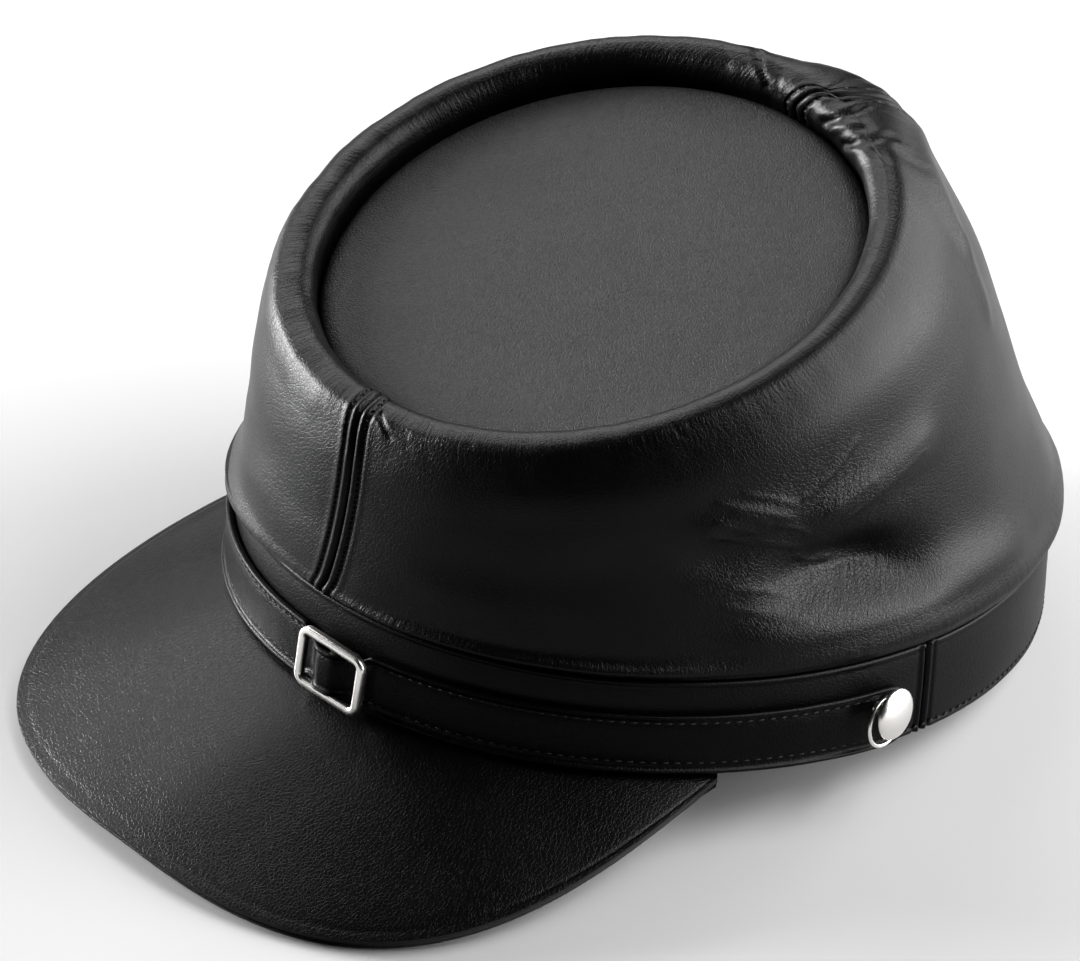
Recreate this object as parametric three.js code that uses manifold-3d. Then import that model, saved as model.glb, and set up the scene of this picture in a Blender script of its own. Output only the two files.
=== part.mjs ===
// A peaked forage cap in black leather, resting on a flat surface.
// Millimetres, +Z up. The peak points to -Y and the wearer's left is +X.
// The cap is drawn on the plane of its band's lower edge, then tipped back until the peak's edge
// and the back of the band both reach the surface.

import * as THREE from 'three';
import Module from 'manifold-3d';
import { mergeVertices } from 'three/addons/utils/BufferGeometryUtils.js';

const wasm = await Module();
wasm.setup();

// ---------- driving dimensions ----------

const GAP = 0.3; // clearance kept between neighbouring pieces
const DEG = Math.PI / 180;
const FRONT = -90 * DEG; // angle of the front on every oval; the left side is at 0

// The band is an upright oval wall. Its outline is given at the lower and the upper edge.
const BAND = {
  height: 22.4,
  wall: 2.4,
  seamAngle: 3.5 * DEG, // the side seams lie this far behind the sides
  frontColumns: 44,
  backColumns: 32,
};
const BAND_EDGES = [
  // level, half width, half length, middle of the oval along Y
  { level: 0, halfWidth: 88.2, halfLength: 96.7, centreY: 1.4 },
  { level: BAND.height, halfWidth: 87.6, halfLength: 95.8, centreY: 0.6 },
];

// The crown's outer face, one oval for each row, from the band up to the shelf round the rim.
// tilt turns the oval about X, so that its back stands higher than its front.
const CROWN_WALL = 2;
const CROWN_SECTIONS = [
  { name: 'foot', halfWidth: 87.0, halfLength: 95.9, centreY: 0.8, height: 22.7, tilt: 0 },
  { name: 'lip', halfWidth: 88.6, halfLength: 98.6, centreY: 2.1, height: 25.0, tilt: 0.5 },
  { name: 'bulge', halfWidth: 86.7, halfLength: 96.7, centreY: -0.3, height: 31.0, tilt: 2 },
  { name: 'lower', halfWidth: 83.6, halfLength: 92.3, centreY: -4.9, height: 42.0, tilt: 5 },
  { name: 'middle', halfWidth: 80.8, halfLength: 87.4, centreY: -9.8, height: 57.0, tilt: 10 },
  { name: 'upper', halfWidth: 79.0, halfLength: 82.7, centreY: -15.3, height: 72.0, tilt: 15 },
  { name: 'shoulder', halfWidth: 75.9, halfLength: 77.3, centreY: -20.8, height: 83.0, tilt: 18.5 },
  { name: 'shelf', halfWidth: 72.3, halfLength: 73.5, centreY: -23.8, height: 86.9, tilt: 20.5 },
];

// The rim rolls over from the shelf to a circular opening and runs down inside to the sunken top.
const RIM = {
  innerRadius: 61.9,
  centreY: -24.3,
  height: 92.8, // crest of the roll
  tilt: 20.5,
  rollRadius: 4.6,
  outerSteps: 4,
  innerSteps: 3,
  drop: 4.4, // straight stretch below the roll, down to the top's seam
};
const TOP = { thickness: 2, sink: 7 }; // sink: top face below the crest of the roll

// Dents and folds pressed into the wall: angle and share of the wall's height where each lies,
// its reach around and up the wall, and how far it pushes the leather out.
const CROWN_FOLDS = [
  { angle: 2, rise: 0.3, around: 15, up: 0.1, push: -4.0 },
  { angle: -4, rise: 0.5, around: 16, up: 0.1, push: 1.6 },
  { angle: 22, rise: 0.52, around: 10, up: 0.16, push: 1.2 },
  { angle: 81, rise: 1.0, around: 14, up: 0.28, push: 3.6 },
];
// The front seam starts a little to the wearer's left and leans further left as it rises.
const FRONT_SEAM = { turn: 1 * DEG, lean: 2 * DEG };
const CROWN_COLUMNS = 30; // steps around each half of the crown

// The peak is a sloping plate. Its outline is a rounded superellipse in plan.
const PEAK = {
  halfWidth: 79.6,
  reach: 100, // from the line of its ends to the front edge
  endY: -43.9,
  squareness: 2.49, // exponent of the superellipse; 2 is an ellipse
  flare: 0.19, // how much wider the front grows than the ends
  endAngle: 62 * DEG, // from the front to where each end meets the band
  twist: -0.87 * DEG, // turn of the outline about the upright axis
  slope: 24.3 * DEG,
  droop: 0.0017, // added fall for each square millimetre away from the band
  thickness: 1.9,
  facing: 1.1, // under leather
  facingInset: 0.8,
  columns: 36,
  rows: [0, 0.12, 0.45, 0.8, 1],
};

// The chin strap lies along the band from button to button and runs through the buckle.
const STRAP = {
  thickness: 1.8,
  frontWidth: 13.6,
  sideWidth: 14.8, // at the buttons
  low: 0.7, // lower edge above the band's lower edge
  tongueWidth: 10.4, // inside the buckle
  tip: 8, // from the button to the end
  tipSquareness: 4, // exponent of the rounded end's outline
  farSteps: 14, // steps from the buckle to each button
};
const TIP_SHARES = [0.35, 0.65, 0.85, 0.96]; // stations along each rounded end
const BUCKLE = {
  offset: 8.4, // along the band, to the wearer's left of the front
  turn: 3 * DEG, // the left side hangs lower
  width: 18.9,
  height: 15,
  bar: 1.6,
  thickness: 1.9,
  middleBar: 1.6,
  middleThickness: 1.1,
  corner: 2.2,
  windowCorner: 1.2,
};
// Stations along the strap out from the buckle's middle: how far the leather lifts off the band
// to pass over the middle bar, and how much of the full width is left.
const STRAP_STATIONS = [
  { along: 0, lift: 3.6, waist: 1 },
  { along: 1.6, lift: 3.5, waist: 1 },
  { along: 3.2, lift: 2.9, waist: 1 },
  { along: 4.8, lift: 1.7, waist: 1 },
  { along: 6.4, lift: 0.5, waist: 1 },
  { along: 7.6, lift: 0, waist: 1 },
  { along: 8.6, lift: 0, waist: 0.5 },
  { along: 9.8, lift: 0, waist: 0 },
];

// Each button stands a little loose on its shank, so it leans back and up.
const BUTTON = {
  seatAngle: -5.7 * DEG, // from the side, towards the front
  rise: 1.5, // above the middle of the strap
  leanBack: 10 * DEG,
  leanUp: 5 * DEG,
  radius: 6.75,
  lip: 0.5, // how far the head's side leans out from its underside
  rimHeight: 0.9,
  dome: 2.3,
  underHead: 5.4, // from the band's face to the underside of the head
  shankRadius: 1.4,
  footRadius: 4,
  footGap: 1.9,
  footThickness: 1,
  holeRadius: 2.6,
};
const RING = { radius: 6, wire: 0.9, down: 0.9 }; // down: how far it hangs below the shank
const ROUND_STEPS = 28; // steps round each button and ring

const FLAT = 0.35; // how much leather is flattened where the cap rests

// ---------- small helpers ----------

const lerp = THREE.MathUtils.lerp;
const point = (x, y, z) => new THREE.Vector3(x, y, z);

// A point on an oval that may be tilted about X.
function onOval(oval, angle, grow = 0) {
  const tilt = (oval.tilt ?? 0) * DEG;
  const along = (oval.halfLength + grow) * Math.sin(angle);
  const height = oval.height ?? oval.level;
  return point(
    (oval.halfWidth + grow) * Math.cos(angle),
    oval.centreY + along * Math.cos(tilt),
    height + along * Math.sin(tilt),
  );
}

// Joins closed outlines that have equally many points into one solid. The first and the last
// outline are closed by strips across them.
function loft(loops) {
  const count = loops[0].length;
  const positions = loops.flat().flatMap((p) => [p.x, p.y, p.z]);
  const index = [];
  const quad = (a, b, c, d) => index.push(a, b, c, a, c, d);
  for (let row = 0; row + 1 < loops.length; row++) {
    for (let k = 0; k < count; k++) {
      const next = (k + 1) % count;
      quad(row * count + k, row * count + next, (row + 1) * count + next, (row + 1) * count + k);
    }
  }
  const last = (loops.length - 1) * count;
  for (let k = 0; k + 1 < count / 2; k++) {
    quad(k, count - 1 - k, count - 2 - k, k + 1);
    quad(last + k, last + k + 1, last + count - 2 - k, last + count - 1 - k);
  }
  return outward(positions, index);
}

// Builds an indexed geometry and turns its faces outwards, judged by the sign of its volume.
function outward(positions, index) {
  const at = (i) => new THREE.Vector3().fromArray(positions, 3 * i);
  let volume = 0;
  for (let i = 0; i < index.length; i += 3) {
    volume += at(index[i]).dot(at(index[i + 1]).cross(at(index[i + 2])));
  }
  if (volume < 0) index.reverse();
  const geometry = new THREE.BufferGeometry();
  geometry.setAttribute('position', new THREE.Float32BufferAttribute(positions, 3));
  geometry.setIndex(index);
  return geometry;
}

function toSolid(geometry) {
  const bare = geometry.clone();
  bare.deleteAttribute('normal');
  bare.deleteAttribute('uv');
  const merged = mergeVertices(bare);
  return new wasm.Manifold(new wasm.Mesh({
    numProp: 3,
    vertProperties: new Float32Array(merged.attributes.position.array),
    triVerts: new Uint32Array(merged.index.array),
  }));
}

function fromSolid(solid) {
  const mesh = solid.getMesh();
  const geometry = new THREE.BufferGeometry();
  geometry.setAttribute('position', new THREE.BufferAttribute(mesh.vertProperties, 3));
  geometry.setIndex(new THREE.BufferAttribute(mesh.triVerts, 1));
  return geometry;
}

const cut = (geometry, tool) => fromSolid(toSolid(geometry).subtract(toSolid(tool)));

// ---------- materials ----------

const leather = (color, roughness) => new THREE.MeshStandardMaterial({
  color, roughness, metalness: 0, flatShading: true,
});
const crownLeather = leather(0x242424, 0.5);
const topLeather = leather(0x303030, 0.7);
const bandLeather = leather(0x1f1f1f, 0.5);
const peakLeather = leather(0x232323, 0.48);
const strapLeather = leather(0x1c1c1c, 0.45);
const nickel = new THREE.MeshStandardMaterial({ color: 0xd6d4cf, roughness: 0.15, metalness: 1 });

// ---------- crown ----------

// How far the folds push the wall out at an angle and a share of its height.
function foldPush(angle, rise) {
  let push = 0;
  for (const fold of CROWN_FOLDS) {
    const around = (angle / DEG - fold.angle) / fold.around;
    const up = (rise - fold.rise) / fold.up;
    push += fold.push * Math.exp(-around * around - up * up);
  }
  return push;
}

// One upright profile of the crown's outer face, from the band to the top's seam.
function crownProfile(angle) {
  const towardsFront = (1 - Math.sin(angle)) / 2;
  const leaning = (rise) => angle + FRONT_SEAM.lean * towardsFront * rise;
  const profile = CROWN_SECTIONS.map((section, row) => {
    const rise = row / (CROWN_SECTIONS.length - 1);
    return onOval(section, leaning(rise), foldPush(leaning(rise), rise));
  });
  const opening = { ...RIM, halfWidth: RIM.innerRadius, halfLength: RIM.innerRadius };
  const crest = onOval(opening, leaning(1), RIM.rollRadius);
  const out = crest.clone().sub(onOval(opening, leaning(1))).normalize();
  const up = point(0, -Math.sin(RIM.tilt * DEG), Math.cos(RIM.tilt * DEG));
  const shelf = profile.at(-1).clone().sub(crest);
  const fall = -shelf.dot(up);
  const reach = shelf.addScaledVector(up, fall);
  for (let step = 1; step <= RIM.outerSteps; step++) {
    const turn = (1 - step / RIM.outerSteps) * 90 * DEG;
    profile.push(
      crest.clone()
        .addScaledVector(reach, Math.sin(turn))
        .addScaledVector(up, -fall * (1 - Math.cos(turn))),
    );
  }
  for (let step = 1; step <= RIM.innerSteps; step++) {
    const turn = (step / RIM.innerSteps) * 90 * DEG;
    profile.push(
      crest.clone()
        .addScaledVector(out, -RIM.rollRadius * Math.sin(turn))
        .addScaledVector(up, -RIM.rollRadius * (1 - Math.cos(turn))),
    );
  }
  profile.push(profile.at(-1).clone().addScaledVector(up, -RIM.drop));
  return profile;
}

// Moves a profile inwards by the leather's thickness, across its own line.
function insideOf(profile, angle, thickness) {
  const side = point(-Math.sin(angle), Math.cos(angle), 0);
  return profile.map((p, k) => {
    const before = profile[Math.max(k - 1, 0)];
    const after = profile[Math.min(k + 1, profile.length - 1)];
    const inwards = after.clone().sub(before).cross(side).normalize();
    return p.clone().addScaledVector(inwards, thickness);
  });
}

function crownSide(from, to) {
  const loops = [];
  for (let column = 0; column <= CROWN_COLUMNS; column++) {
    const angle = lerp(from, to, column / CROWN_COLUMNS);
    const outer = crownProfile(angle);
    const inner = insideOf(outer, angle, CROWN_WALL);
    loops.push([...outer, ...inner.reverse()]);
  }
  return loft(loops);
}

function crownTop() {
  const shape = new THREE.Shape();
  shape.absarc(0, 0, RIM.innerRadius - GAP, 0, 2 * Math.PI);
  const disc = new THREE.ExtrudeGeometry(shape, {
    depth: TOP.thickness, bevelEnabled: false, curveSegments: 72,
  });
  disc.translate(0, 0, -TOP.sink - TOP.thickness);
  disc.rotateX(RIM.tilt * DEG);
  disc.translate(0, RIM.centreY, RIM.height);
  return disc;
}

// ---------- band ----------

const bandAt = (level) => {
  const share = level / BAND.height;
  const [low, high] = BAND_EDGES;
  return {
    level,
    halfWidth: lerp(low.halfWidth, high.halfWidth, share),
    halfLength: lerp(low.halfLength, high.halfLength, share),
    centreY: lerp(low.centreY, high.centreY, share),
  };
};

// A point a given way out from the band's outer face, straight across the oval's line.
function offBand(level, angle, distance) {
  const oval = bandAt(level);
  const normal = point(
    Math.cos(angle) / oval.halfWidth, Math.sin(angle) / oval.halfLength, 0,
  ).normalize();
  return onOval(oval, angle).addScaledVector(normal, distance);
}

function bandPiece(from, to, columns) {
  const loops = [];
  for (let column = 0; column <= columns; column++) {
    const angle = lerp(from, to, column / columns);
    loops.push([
      offBand(0, angle, 0), offBand(BAND.height, angle, 0),
      offBand(BAND.height, angle, -BAND.wall), offBand(0, angle, -BAND.wall),
    ]);
  }
  return loft(loops);
}

// ---------- peak ----------

// Outline of the peak in plan at a turn from the right end (-1) over the front (0) to the left (1).
function peakEdge(turn, inset) {
  const angle = (1 - turn) * (Math.PI / 2);
  const power = 2 / PEAK.squareness;
  const across = Math.sign(Math.cos(angle)) * Math.abs(Math.cos(angle)) ** power;
  const ahead = Math.sin(angle) ** power;
  const half = (PEAK.halfWidth - inset) * (1 + PEAK.flare * ahead);
  return point(half * across, PEAK.endY - (PEAK.reach - inset) * ahead, 0)
    .applyAxisAngle(point(0, 0, 1), PEAK.twist);
}

// Shortest way in plan from a point to the band's lower edge.
function awayFromBand(p) {
  const steps = 360;
  let nearest = Infinity;
  for (let step = 0; step <= steps; step++) {
    const seat = onOval(BAND_EDGES[0], -Math.PI * (step / steps));
    nearest = Math.min(nearest, Math.hypot(p.x - seat.x, p.y - seat.y));
  }
  return nearest;
}

// Angle on the band from which the peak's ruling at this turn starts.
const peakRoot = (turn) => FRONT + PEAK.endAngle * turn;

// One ruling of the peak, from under the band's inner face out to the edge, at a depth below
// the peak's upper face.
function peakRuling(turn, inset, depth) {
  const angle = peakRoot(turn);
  const root = offBand(0, angle, 0);
  const edge = peakEdge(turn, inset);
  const points = [offBand(0, angle, -BAND.wall)];
  for (const share of PEAK.rows) {
    const p = root.clone().lerp(edge, share);
    const away = share > 0 ? awayFromBand(p) : 0;
    p.z = -Math.tan(PEAK.slope) * away - PEAK.droop * away * away;
    points.push(p);
  }
  for (const p of points) p.z -= GAP + depth;
  return points;
}

function peakPlate(inset, top, thickness) {
  const loops = [];
  for (let column = 0; column <= PEAK.columns; column++) {
    const turn = lerp(-1, 1, column / PEAK.columns);
    const upper = peakRuling(turn, inset, top);
    const lower = peakRuling(turn, inset, top + thickness);
    loops.push([...upper, ...lower.reverse()]);
  }
  return loft(loops);
}

// ---------- chin strap, buckle and buttons ----------

const STRAP_SPEED = BAND_EDGES[0].halfWidth; // millimetres along the front for each radian
const buckleAngle = FRONT + BUCKLE.offset / STRAP_SPEED;
const strapWidth = (angle) => (
  lerp(STRAP.frontWidth, STRAP.sideWidth, Math.abs(angle - FRONT) / (90 * DEG))
);
const strapMiddle = (angle) => STRAP.low + strapWidth(angle) / 2;

// Stations from the strap's right end to its left one: angle on the band, lift off the band and
// half of the width left there.
function strapStations() {
  const last = STRAP_STATIONS.at(-1).along;
  const steps = STRAP.farSteps;
  const round = (share) => (1 - share ** STRAP.tipSquareness) ** (1 / STRAP.tipSquareness);
  const side = (sign, end) => {
    const start = buckleAngle + (sign * last) / STRAP_SPEED;
    const near = STRAP_STATIONS.map((s) => {
      const angle = buckleAngle + (sign * s.along) / STRAP_SPEED;
      return { angle, lift: s.lift, half: lerp(strapWidth(angle), STRAP.tongueWidth, s.waist) / 2 };
    });
    const far = [];
    for (let step = 1; step <= steps; step++) {
      const angle = lerp(start, end, step / steps);
      far.push({ angle, lift: 0, half: strapWidth(angle) / 2 });
    }
    const tip = TIP_SHARES.map((share) => ({
      angle: end + (sign * share * STRAP.tip) / BAND_EDGES[0].halfLength,
      lift: 0,
      half: (round(share) * STRAP.sideWidth) / 2,
    }));
    return [...near, ...far, ...tip];
  };
  const left = side(1, BUTTON.seatAngle);
  const right = side(-1, -Math.PI - BUTTON.seatAngle);
  return [...right.reverse(), ...left.slice(1)];
}

function chinStrap() {
  const stations = strapStations();
  const middle = stations.map((s) => (
    offBand(strapMiddle(s.angle), s.angle, GAP + STRAP.thickness / 2 + s.lift)
  ));
  const loops = stations.map((s, k) => {
    const run = middle[Math.min(k + 1, middle.length - 1)].clone()
      .sub(middle[Math.max(k - 1, 0)]);
    const across = run.cross(point(0, 0, 1)).normalize();
    const face = (level, side) => offBand(level, s.angle, GAP + STRAP.thickness / 2 + s.lift)
      .addScaledVector(across, (side * STRAP.thickness) / 2);
    const low = strapMiddle(s.angle) - s.half;
    const high = strapMiddle(s.angle) + s.half;
    return [face(low, 1), face(high, 1), face(high, -1), face(low, -1)];
  });
  return loft(loops);
}

// The buckle stands in the X-Z plane with its face towards -Y, then is set against the strap.
function buckleFrame() {
  const rounded = (width, height, corner) => {
    const shape = new THREE.Shape();
    const x = width / 2;
    const y = height / 2;
    shape.absarc(x - corner, y - corner, corner, 0, Math.PI / 2);
    shape.absarc(-x + corner, y - corner, corner, Math.PI / 2, Math.PI);
    shape.absarc(-x + corner, -y + corner, corner, Math.PI, 1.5 * Math.PI);
    shape.absarc(x - corner, -y + corner, corner, 1.5 * Math.PI, 2 * Math.PI);
    return shape;
  };
  const window = { width: BUCKLE.width - 2 * BUCKLE.bar, height: BUCKLE.height - 2 * BUCKLE.bar };
  const outline = rounded(BUCKLE.width, BUCKLE.height, BUCKLE.corner);
  outline.holes.push(rounded(window.width, window.height, BUCKLE.windowCorner));
  const frame = new THREE.ExtrudeGeometry(outline, {
    depth: BUCKLE.thickness, bevelEnabled: false, curveSegments: 5,
  });
  const bar = new THREE.BoxGeometry(BUCKLE.middleBar, window.height + 1, BUCKLE.middleThickness);
  bar.translate(0, 0, BUCKLE.middleThickness / 2);
  const whole = fromSolid(toSolid(frame).add(toSolid(bar)));
  whole.rotateX(90 * DEG);
  return whole;
}

// Profile of the button about its own axis, from the foot inside the band to the dome.
function buttonProfile() {
  const { underHead } = BUTTON;
  const footTop = -BAND.wall - BUTTON.footGap;
  const dome = [];
  const steps = 6;
  for (let step = 0; step <= steps; step++) {
    const turn = (step / steps) * (Math.PI / 2);
    dome.push(new THREE.Vector2(
      BUTTON.radius * Math.cos(turn),
      underHead + BUTTON.rimHeight + BUTTON.dome * Math.sin(turn),
    ));
  }
  return [
    new THREE.Vector2(0, footTop - BUTTON.footThickness),
    new THREE.Vector2(BUTTON.footRadius, footTop - BUTTON.footThickness),
    new THREE.Vector2(BUTTON.footRadius, footTop),
    new THREE.Vector2(BUTTON.shankRadius, footTop),
    new THREE.Vector2(BUTTON.shankRadius, underHead),
    new THREE.Vector2(BUTTON.radius - BUTTON.lip, underHead),
    ...dome.slice(0, -1),
    new THREE.Vector2(0, underHead + BUTTON.rimHeight + BUTTON.dome),
  ];
}

const buttonShape = () => new THREE.LatheGeometry(buttonProfile(), ROUND_STEPS);
const ringShape = () => {
  const r = RING.wire / 2;
  const section = [];
  const sides = 8;
  for (let side = 0; side <= sides; side++) {
    const turn = (2 * Math.PI * side) / sides;
    section.push(new THREE.Vector2(RING.radius + r * Math.cos(turn), r * Math.sin(turn)));
  }
  return new THREE.LatheGeometry(section, ROUND_STEPS);
};
const buttonHole = () => (
  new THREE.CylinderGeometry(BUTTON.holeRadius, BUTTON.holeRadius, 4 * BUTTON.footRadius, 20)
);

// Stands a shape made about +Y at a button's seat on the band, side +1 left and -1 right.
function atButton(geometry, side, lean = 1, down = 0) {
  geometry.rotateZ(-side * 90 * DEG);
  geometry.translate(0, 0, -down);
  geometry.rotateZ(side * lean * BUTTON.leanBack);
  geometry.rotateY(-side * lean * BUTTON.leanUp);
  const angle = side > 0 ? BUTTON.seatAngle : -Math.PI - BUTTON.seatAngle;
  const seat = offBand(strapMiddle(angle) + BUTTON.rise, angle, 0);
  geometry.translate(seat.x, seat.y, seat.z);
  return geometry;
}

// ---------- the cap at rest ----------

const crownSeamGap = (0.6 * GAP) / RIM.innerRadius; // each half's share, as an angle
const bandSeamGap = GAP / BAND_EDGES[0].halfLength;
const frontSeam = FRONT + FRONT_SEAM.turn;
const backSeam = 90 * DEG;
const fullTurn = 360 * DEG;

let strap = chinStrap();
let bandFront = bandPiece(
  -180 * DEG - BAND.seamAngle + bandSeamGap, BAND.seamAngle, BAND.frontColumns,
);
for (const side of [1, -1]) {
  const hole = atButton(buttonHole(), side, 0);
  strap = cut(strap, hole);
  bandFront = cut(bandFront, hole);
}
const bandBack = bandPiece(
  BAND.seamAngle + bandSeamGap, 180 * DEG - BAND.seamAngle, BAND.backColumns,
);

const pieces = {
  crown_side_left: [crownSide(frontSeam + crownSeamGap, backSeam - crownSeamGap), crownLeather],
  crown_side_right: [
    crownSide(backSeam + crownSeamGap, frontSeam + fullTurn - crownSeamGap), crownLeather,
  ],
  crown_top: [crownTop(), topLeather],
  band_front: [bandFront, bandLeather],
  band_back: [bandBack, bandLeather],
  peak: [peakPlate(0, 0, PEAK.thickness), peakLeather],
  peak_facing: [
    peakPlate(PEAK.facingInset, PEAK.thickness + GAP, PEAK.facing), peakLeather,
  ],
  chin_strap: [strap, strapLeather],
};

// ---------- hardware ----------

const buckle = buckleFrame();
buckle.rotateY(BUCKLE.turn);
buckle.rotateZ(buckleAngle - FRONT);
const buckleSeat = offBand(strapMiddle(buckleAngle), buckleAngle, GAP + STRAP.thickness + GAP);
buckle.translate(buckleSeat.x, buckleSeat.y, buckleSeat.z);
pieces.buckle = [buckle, nickel];
for (const [name, side] of [['left', 1], ['right', -1]]) {
  const ring = ringShape();
  ring.translate(0, BUTTON.underHead - GAP - RING.wire / 2, 0);
  pieces[`button_${name}`] = [atButton(buttonShape(), side), nickel];
  pieces[`button_ring_${name}`] = [atButton(ring, side, 1, RING.down), nickel];
}

// Tips the cap back until the peak's edge is level with the back of the band.
function restingTilt() {
  const heel = offBand(0, 90 * DEG, 0);
  const edge = pieces.peak_facing[0].attributes.position;
  let tilt = 0;
  for (let i = 0; i < edge.count; i++) {
    tilt = Math.max(tilt, Math.atan2(heel.z - edge.getZ(i), heel.y - edge.getY(i)));
  }
  return tilt;
}

const tilt = restingTilt();
let lowest = Infinity;
for (const [geometry] of Object.values(pieces)) {
  geometry.rotateX(-tilt);
  geometry.computeBoundingBox();
  lowest = Math.min(lowest, geometry.boundingBox.min.z);
}

// The surface takes FLAT off the lowest leather, and the origin goes under the middle of the cap.
const floorLevel = lowest + FLAT;
const floorDepth = 20;
const floorBlock = new THREE.BoxGeometry(3 * PEAK.reach, 3 * PEAK.reach, floorDepth);
floorBlock.translate(0, 0, floorLevel - floorDepth / 2);
for (const name of ['peak', 'peak_facing', 'band_back']) {
  pieces[name][0] = cut(pieces[name][0], floorBlock);
}

const cap = new THREE.Group();
const bounds = new THREE.Box3();
for (const [name, [geometry, material]] of Object.entries(pieces)) {
  geometry.computeVertexNormals();
  geometry.computeBoundingBox();
  bounds.union(geometry.boundingBox);
  const mesh = new THREE.Mesh(geometry, material);
  mesh.name = name;
  cap.add(mesh);
}
const middle = bounds.getCenter(new THREE.Vector3());
cap.position.set(-middle.x, -middle.y, -floorLevel);

export default cap;
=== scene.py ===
# %% [markdown]
# # A black leather forage cap
# The cap is a peaked one with a round, sunken top. Its leather is cut flat, sewn and pulled into
# shape, so most pieces here start flat too: as a grid or a short profile that is then bent.
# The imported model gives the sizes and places. All building is done in millimetres on the plane of
# the band's lower edge, and one matrix then tips each piece back into its resting place.

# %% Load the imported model
import math
from collections import namedtuple

import bmesh
import bpy
import numpy as np
from mathutils import Matrix, Vector, noise


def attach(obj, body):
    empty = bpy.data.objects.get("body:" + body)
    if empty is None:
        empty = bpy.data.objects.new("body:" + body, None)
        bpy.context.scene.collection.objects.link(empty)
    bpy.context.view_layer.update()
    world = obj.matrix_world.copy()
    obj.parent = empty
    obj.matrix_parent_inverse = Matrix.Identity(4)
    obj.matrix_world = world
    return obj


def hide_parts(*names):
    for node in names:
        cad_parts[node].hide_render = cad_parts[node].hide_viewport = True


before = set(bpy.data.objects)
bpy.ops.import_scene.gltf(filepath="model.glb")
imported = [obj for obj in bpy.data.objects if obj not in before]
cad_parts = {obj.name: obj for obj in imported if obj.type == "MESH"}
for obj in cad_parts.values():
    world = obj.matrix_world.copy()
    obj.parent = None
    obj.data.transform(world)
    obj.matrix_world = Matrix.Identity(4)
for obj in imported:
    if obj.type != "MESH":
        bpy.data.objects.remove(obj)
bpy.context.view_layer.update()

MM = 0.001

# %% [markdown]
# ## Measure where things are
# Two planes carry the whole shape: the band's, which is tipped back because the cap rests on its
# peak, and the sunken top's, which leans further forward. Both are read off flat faces of the CAD
# solids, so a change of the model moves everything with it.

# %% Read the two planes from the CAD solids
def facets(node):
    """Corners, unit normals and areas of a CAD node's triangles, in millimetres."""
    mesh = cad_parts[node].data
    points = np.array([vert.co for vert in mesh.vertices]) / MM
    corners = points[np.array([list(face.vertices) for face in mesh.polygons])]
    cross = np.cross(corners[:, 1] - corners[:, 0], corners[:, 2] - corners[:, 0])
    double = np.linalg.norm(cross, axis=1)
    return corners, cross / double[:, None], double / 2


def tipped(node):
    """Turn about X of the plane that a node's upward faces lie in, in radians."""
    _, normals, areas = facets(node)
    up = normals[:, 2] > 0.95
    mean = (normals[up] * areas[up, None]).sum(axis=0)
    return math.atan2(-mean[1], mean[2])


BAND_TIP = tipped("band_front")
RIM_TIP = tipped("crown_top") - BAND_TIP
print(f"band tipped {math.degrees(BAND_TIP):.2f}, rim {math.degrees(RIM_TIP):.2f} degrees from it")

# %% [markdown]
# The band is an upright oval wall. Its front is the lowest reading along Y of the band's own solid,
# which fixes the origin of the building plane.

# %% The band's oval and the matrix that puts a piece in place
Oval = namedtuple("Oval", "half_width half_length centre_y")
BAND_HEIGHT = 22.4
BAND_LOW = Oval(88.2, 96.7, 1.4)
BAND_HIGH = Oval(87.6, 95.8, 0.6)
FRONT = math.radians(-90)
GAP = 0.3

corners, _, _ = facets("band_front")
turned = np.array(Matrix.Rotation(-BAND_TIP, 3, "X"))
flat_points = corners.reshape(-1, 3) @ turned.T
ORIGIN = np.array([
    0.0,
    flat_points[:, 1].min() + BAND_LOW.half_length - BAND_LOW.centre_y,
    flat_points[:, 2].min(),
])
PLACE = Matrix.Scale(MM, 4) @ Matrix.Rotation(BAND_TIP, 4, "X") @ Matrix.Translation(ORIGIN)
print("building plane's origin, millimetres:", [round(v / MM, 2) for v in PLACE.translation])


def on_band(angle, level, out=0.0):
    """A point off the band's outer face, straight across the oval's line. Angles in radians."""
    share = level / BAND_HEIGHT
    width, length, centre = (low + (high - low) * share for low, high in zip(BAND_LOW, BAND_HIGH))
    across = np.cos(angle) / width
    along = np.sin(angle) / length
    size = np.hypot(across, along)
    return np.stack([
        width * np.cos(angle) + out * across / size,
        centre + length * np.sin(angle) + out * along / size,
        level + 0.0 * angle,
    ], axis=-1)


# %% [markdown]
# ## Camera
# A long lens from far away keeps the ovals calm, as in a catalogue. It looks down a third of the way
# and from the wearer's front left.

# %% Camera
def direction(azimuth, elevation):
    """Unit vector from the hat to a place around it, in degrees; azimuth 0 is straight ahead."""
    turn, lift = math.radians(azimuth), math.radians(elevation)
    return Vector((
        math.sin(turn) * math.cos(lift), -math.cos(turn) * math.cos(lift), math.sin(lift),
    ))


def new_object(name, data):
    """An object that is linked to the scene."""
    thing = bpy.data.objects.new(name, data)
    bpy.context.scene.collection.objects.link(thing)
    return thing


# angles in degrees, lengths in millimetres
VIEW_AZIMUTH = 48.8
VIEW_ELEVATION = 33.5
VIEW_DISTANCE = 1736.0
AIM_LEFT = 21.75
AIM_UP = 20.5

towards_camera = direction(VIEW_AZIMUTH, VIEW_ELEVATION)
rightwards = direction(VIEW_AZIMUTH + 90, 0)
upwards = towards_camera.cross(rightwards)
eye = PLACE.translation + towards_camera * VIEW_DISTANCE * MM
aim = PLACE.translation + (upwards * AIM_UP - rightwards * AIM_LEFT) * MM

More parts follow.
